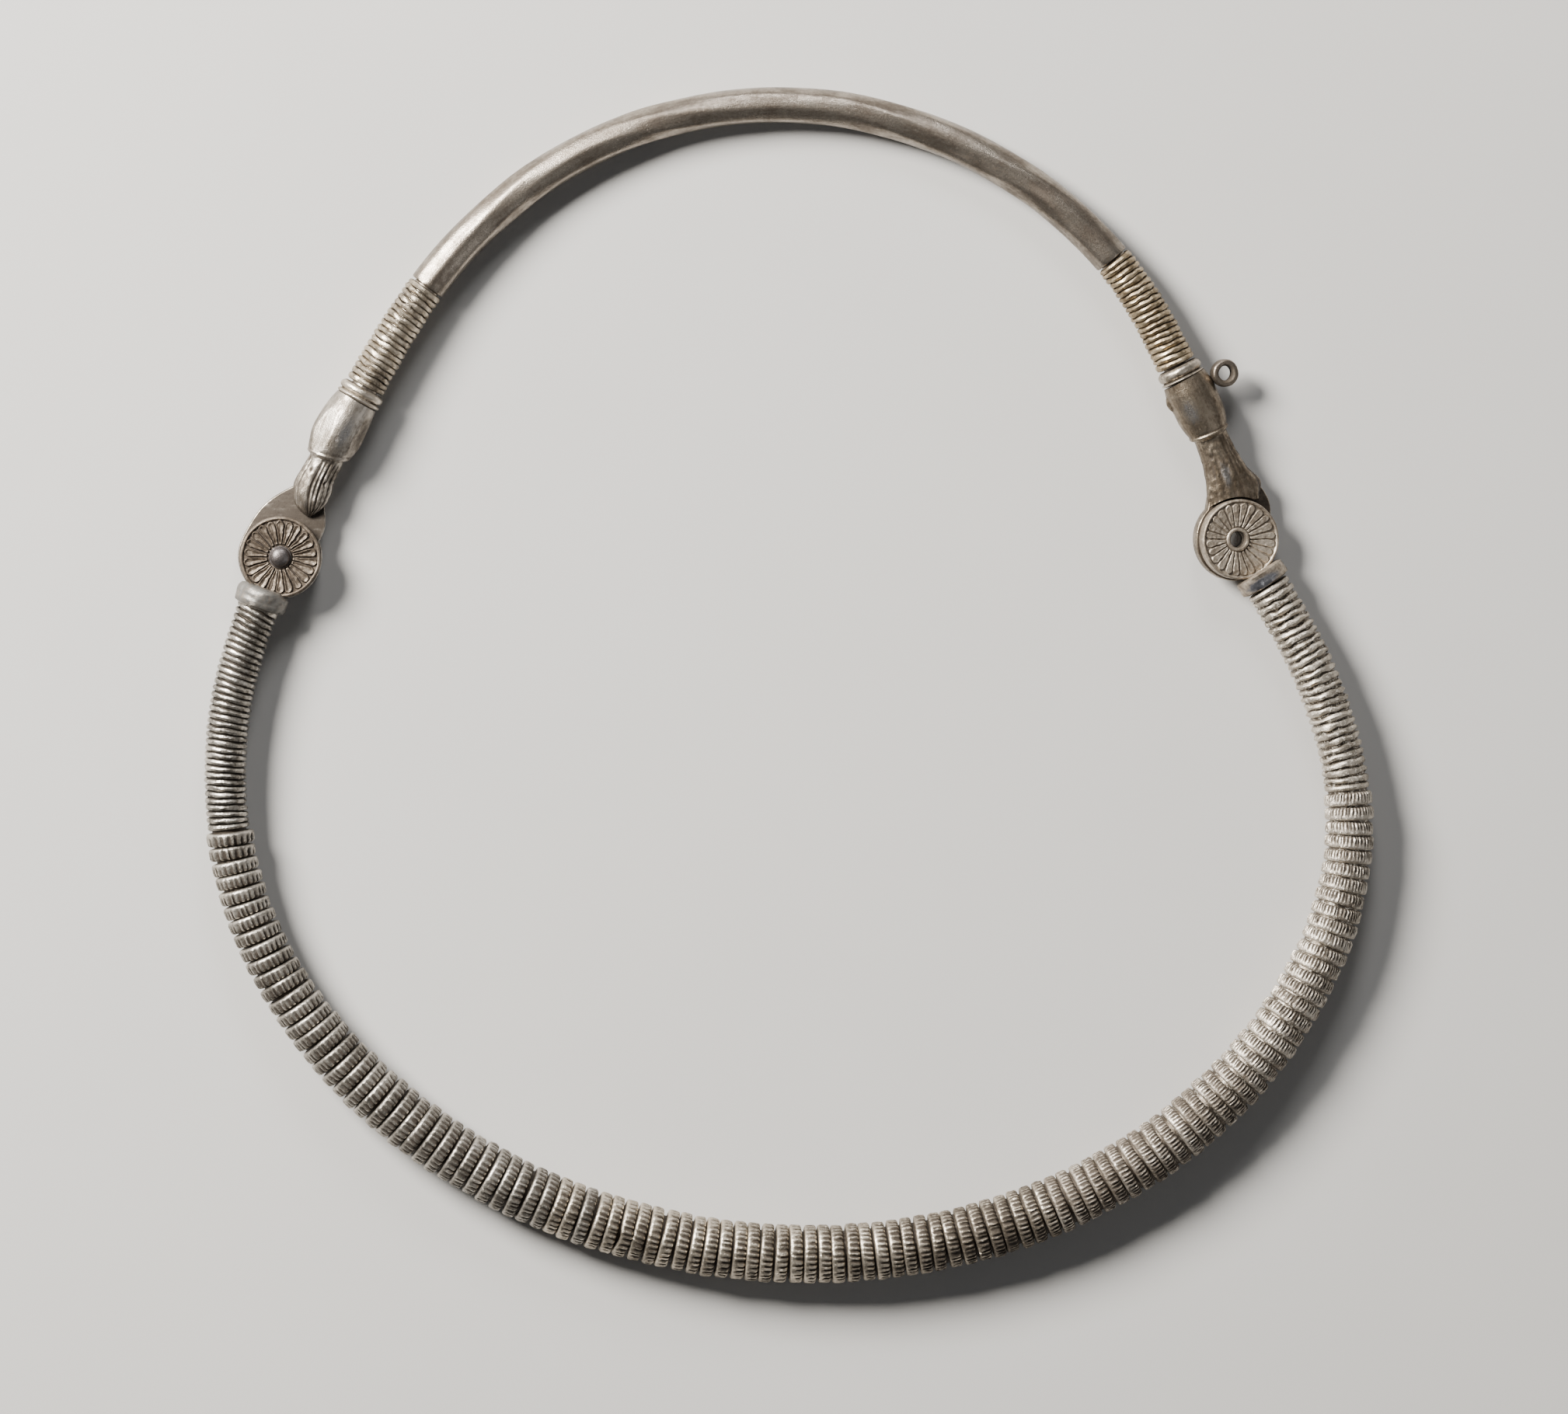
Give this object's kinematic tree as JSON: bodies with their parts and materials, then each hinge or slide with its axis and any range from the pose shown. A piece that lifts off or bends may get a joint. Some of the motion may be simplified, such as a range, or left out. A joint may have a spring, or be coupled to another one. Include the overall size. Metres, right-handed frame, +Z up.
{
  "type": "hinged neck ring",
  "caption": "Silver torc: a rigid neck ring of two hoops, wound with plain and notched wire, with a riveted rosette hinge and a rosette clasp without its pin.",
  "frame": {"origin": "centre of the bounding box, at the level of the table the torc lies on", "axes": "+X from the hinge to the clasp, +Y from the front of the neck to the back (the plain rod's side), +Z up, out of the rosettes"},
  "size_m": [0.1702, 0.174, 0.0085],
  "materials": {
    "front_core": "aged silver, dirt in the recesses",
    "front_winding_left": "aged silver, dirt in the recesses",
    "front_winding_right": "aged silver, dirt in the recesses",
    "notched_rings": "aged silver, dirt in the recesses",
    "rosette_left": "aged silver, dirt in the recesses",
    "rosette_right": "aged silver, dirt in the recesses",
    "hinge_rivet": "aged silver, dirt in the recesses",
    "rear_rod": "aged silver, dirt in the recesses",
    "rear_winding_left": "aged silver, dirt in the recesses",
    "rear_winding_right": "aged silver, dirt in the recesses",
    "rear_collar_left": "aged silver, dirt in the recesses",
    "rear_collar_right": "aged silver, dirt in the recesses",
    "terminal_left": "aged silver, dirt in the recesses",
    "terminal_right": "aged silver, dirt in the recesses",
    "chain_loop": "aged silver, dirt in the recesses"
  },
  "bodies": {
    "front_hoop": {"front_core": "front_core", "front_winding_left": "front_winding_left", "front_winding_right": "front_winding_right", "notched_rings": "notched_rings", "rosette_left": "rosette_left", "rosette_right": "rosette_right", "hinge_rivet": "hinge_rivet"},
    "rear_hoop": {"rear_rod": "rear_rod", "rear_winding_left": "rear_winding_left", "rear_winding_right": "rear_winding_right", "rear_collar_left": "rear_collar_left", "rear_collar_right": "rear_collar_right", "terminal_left": "terminal_left", "terminal_right": "terminal_right", "chain_loop": "chain_loop"}
  },
  "joints": [
    {"name": "hinge", "type": "hinge", "parent": "front_hoop", "child": "rear_hoop", "pos_m": [-0.07402, 0.01908, 0.00385], "axis": [0, 0, 1], "range_deg": [0, 75]}
  ]
}
